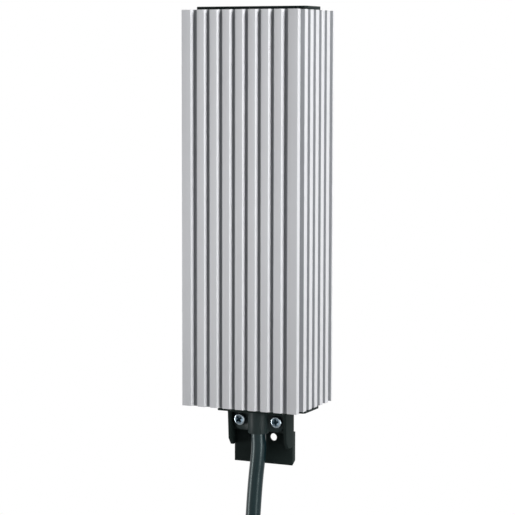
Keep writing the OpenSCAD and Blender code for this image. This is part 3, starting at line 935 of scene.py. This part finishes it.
def copied(piece, name, point, twist_deg=0, tip_deg=0):
    """A copy with its own mesh of a piece that stands at the frame's origin: it is twisted
    about its own axis, tipped forwards and then put in its place."""
    copy = in_scene(name, piece.data.copy())
    copy.data.name = name
    copy.rotation_euler = (0, 0, math.radians(twist_deg))
    applied(copy)
    copy.location, copy.rotation_euler = point, (math.radians(tip_deg), 0, 0)
    return applied(copy)


# %% [markdown]
# ## The clamp screws
# Two pan heads press the clamp's ears onto the foot. They are the brightest small thing on
# the heater, so they get the dish and the cross. Their places come from the CAD node that
# they stand for. A driver leaves each turned to a different angle, and so does this cell.

# %% Place the clamp screws
head_r, head_h = 3.5, 2.6
edge_h, shoulder_r, cap_deg = 1.12, 1.05, 20
shank_r, shank_l, tip_r, tip_l = 1.45, 6.8, 0.75, 0.8


def box_mm(node):
    """A CAD node's lowest and highest corners, in the millimetres that at() takes."""
    return [(corner - at(0, 0, 0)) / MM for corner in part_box(node)]


screws_low, screws_high = box_mm("clamp_screws")
clamp_screw_x, seat_y = screws_high.x - head_r, screws_low.y + head_h
clamp_screw_z = (screws_low.z + screws_high.z) / 2
print("clamp screws at", *(round(v, 2) for v in (clamp_screw_x, seat_y, clamp_screw_z)), "mm")
pan_screw = new_screw(
    "pan_screw", head_r, edge_h, head=head_rings(head_r, shoulder_r, cap_deg),
    neck=[(shank_r, 0), (shank_r, shank_l), (tip_r, tip_l)],
    cross=(4.15, 1.3, 1.9), dish=(2.45, 0.4),
)
for name, side, twist_deg in (("clamp_screw_left", -1, 35), ("clamp_screw_right", 1, 12)):
    place = at(side * clamp_screw_x, seat_y, clamp_screw_z)
    screw = copied(pan_screw, name, place, twist_deg, tip_deg=90)
    finished(screw, "zinc_steel", "clamp_screws")
    print(name, len(screw.data.polygons), "faces")
bpy.data.objects.remove(pan_screw)

# %% [markdown]
# ## The cap screws
# Each cap is held by two countersunk screws that cut their own thread in the extrusion's
# round channels. Their heads lie flush in the cap, so a head is a flat disc over a cone. One
# screw serves all four places: the lower ones are turned upside down.

# %% Place the cap screws
flush_r, disc_h = 3.4, 0.05
cone_h, cap_shank_r, cap_shank_l = 1.6, 1.75, 11.35
cap_tip_r, cap_tip_l = 0.6, 1
lower_z = box_mm("bottom_cap_screws")[0].z
upper_high = box_mm("top_cap_screws")[1]
cap_screw_x = upper_high.x - flush_r
countersunk = new_screw(
    "countersunk_screw", flush_r, disc_h, head=[],
    neck=[(cap_shank_r, cone_h), (cap_shank_r, cap_shank_l), (cap_tip_r, cap_tip_l)],
    cross=(4.2, 1.15, 1.6),
)
for side, where, twist_deg in ((-1, "left", 20), (1, "right", 65)):
    x = side * cap_screw_x
    upper = copied(countersunk, "top_screw_" + where, at(x, 0, upper_high.z - disc_h), twist_deg)
    lower = copied(countersunk, "bottom_screw_" + where, at(x, 0, lower_z + disc_h), twist_deg,
                   tip_deg=180)
    finished(upper, "zinc_steel", "top_cap_screws")
    finished(lower, "zinc_steel", "bottom_cap_screws")
    print(upper.name, "and", lower.name, len(upper.data.polygons), "faces each")
bpy.data.objects.remove(countersunk)

# %% [markdown]
# ## The pieces that stay as the CAD made them
# The heating stack, the inner leads and the earth screw lie inside, where a radius more or
# less is never seen. Modelling them again would only risk moving them. So they keep their CAD
# shape and get a finish.

# %% Finish the remaining CAD nodes
inner_finishes = {
    "earth_screw": "zinc_steel",
    "live_wire": "brown_core", "neutral_wire": "blue_core", "earth_wire": "green_yellow_core",
    "earth_terminal": "tinned_copper", "ptc_stones": "stone_ceramic",
    "stone_frame": "frame_plastic", "front_electrode": "electrode_aluminium",
    "back_electrode": "electrode_aluminium", "insulating_sleeve": "sleeve_film",
    "pressure_bar": "electrode_aluminium",
}
for node, slot in inner_finishes.items():
    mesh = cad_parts[node].data
    mesh.materials.clear()
    mesh.materials.append(finishes[slot])
print("inner pieces", len(inner_finishes))

# %% [markdown]
# ## The floor
# The heater hangs, so the floor lies just below its lowest point, where it takes the heater's
# shadow. A floor without end would show a horizon, so this one is a disc that can fade out.

# %% Floor
floor_r, floor_gap = 0.7, 0.003
low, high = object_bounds()
nothing_selected()
bpy.ops.mesh.primitive_circle_add(
    vertices=128, radius=floor_r, fill_type="NGON",
    location=((low.x + high.x) / 2, (low.y + high.y) / 2, low.z - floor_gap),
)
floor = just_added("floor")
print("floor at", round(low.z - floor_gap, 4), "m")

# %% [markdown]
# Towards its edge the disc has to fade into the white background. More light would do that,
# but would also burn out the heater. So a glow is mixed in that only the camera sees, more of
# it further out, and it lights nothing. From below the floor is clear, so that it doesn't hide
# the heater.

# %% The floor's glow
fade_from, fade_to = 0.3, 0.68
glow_middle, glow_edge = 0.6, 1
material = bpy.data.materials.new("floor")
material.use_nodes = True
tree = material.node_tree
nodes, link = tree.nodes, tree.links.new
shader = nodes["Principled BSDF"]
shader.inputs["Base Color"].default_value = (0.5, 0.5, 0.5, 1)
shader.inputs["Roughness"].default_value = 0.8
glow = nodes.new("ShaderNodeEmission")
glow.inputs["Color"].default_value = (1, 1, 1, 1)
glow.inputs["Strength"].default_value = 1
place = nodes.new("ShaderNodeTexCoord")
flat = nodes.new("ShaderNodeVectorMath")
flat.operation = "MULTIPLY"
flat.inputs[1].default_value = (1, 1, 0)
radius = nodes.new("ShaderNodeVectorMath")
radius.operation = "LENGTH"
link(place.outputs["Object"], flat.inputs[0])
link(flat.outputs["Vector"], radius.inputs[0])
fade = ramp(tree, radius.outputs["Value"], (fade_from, fade_to), (glow_middle, glow_edge),
            interpolation="SMOOTHSTEP")
path = nodes.new("ShaderNodeLightPath")
lit_or_glow = nodes.new("ShaderNodeMixShader")
link(number(tree, "MULTIPLY", fade, path.outputs["Is Camera Ray"]), lit_or_glow.inputs["Fac"])
link(shader.outputs["BSDF"], lit_or_glow.inputs[1])
link(glow.outputs["Emission"], lit_or_glow.inputs[2])
print("floor glows", glow_middle, "up to", fade_from, "m and", glow_edge, "past", fade_to, "m")

# %% Clear from below
side_seen = nodes.new("ShaderNodeNewGeometry")
clear = nodes.new("ShaderNodeBsdfTransparent")
one_way = nodes.new("ShaderNodeMixShader")
link(side_seen.outputs["Backfacing"], one_way.inputs["Fac"])
link(lit_or_glow.outputs["Shader"], one_way.inputs[1])
link(clear.outputs["BSDF"], one_way.inputs[2])
link(one_way.outputs["Shader"], nodes["Material Output"].inputs["Surface"])
floor.data.materials.append(material)
print("floor's finish has", len(nodes), "nodes")

# %% [markdown]
# ## The lamps
# A product is lit by a few large soft boxes, and a plain lamp would draw hard shadows. The
# main lamp stands to the right, which makes the right side bright and leaves the grooves dark.
# The strip, low on the right, draws the bright line down the right of the cable. The left lamp
# lights the crests and draws the cable's left line, and the back lamp keeps the back from
# going black.

# %% Lamps
centre = at(0, 0, height / 2)


def lamp(name, turn_deg, rise_deg, distance, size, power):
    """A soft lamp that looks at the heater, with its size wide and high in metres."""
    way = way_out(turn_deg, rise_deg)
    data = bpy.data.lights.new(name, "AREA")
    data.shape, data.energy = "RECTANGLE", power
    data.size, data.size_y = size
    piece = in_scene(name, data)
    piece.location = centre + way * distance
    piece.rotation_mode = "QUATERNION"
    piece.rotation_quaternion = way.to_track_quat("Z", "Y")
    print(name, power, "W at", tuple(round(v, 2) for v in piece.location))


# Degrees to the side and up, metres away, metres wide and high, and watts.
lamp("main_lamp", 74, 31, 1.12, (0.47, 1.4), 15.7)
lamp("strip_lamp", 67, -21, 1.15, (0.24, 0.5), 5.2)
lamp("left_lamp", -56, -24, 1.35, (0.34, 1.3), 15.9)
lamp("back_lamp", -150, 15, 1.6, (1.0, 1.4), 17)

# %% [markdown]
# ## The background
# All round is white, as in a studio. If it shone at full strength on the heater too, it would
# wash out every shadow. So it is white for the eye, for what metal mirrors and for glass, and
# gives almost no light to everything else.

# %% Background
world_light = 0.08
world = bpy.data.worlds.new("studio")
bpy.context.scene.world = world
world.use_nodes = True
tree = world.node_tree
backdrop = tree.nodes["Background"]
backdrop.inputs["Color"].default_value = (1, 1, 1, 1)
path = tree.nodes.new("ShaderNodeLightPath")
seen = number(tree, "ADD", path.outputs["Is Camera Ray"], path.outputs["Is Glossy Ray"])
seen = number(tree, "ADD", seen, path.outputs["Is Transmission Ray"])
tree.links.new(ramp(tree, seen, (0, 1), (world_light, 1)), backdrop.inputs["Strength"])
bpy.context.scene.view_settings.view_transform = "Standard"
print("background gives", world_light, "of its white as light")
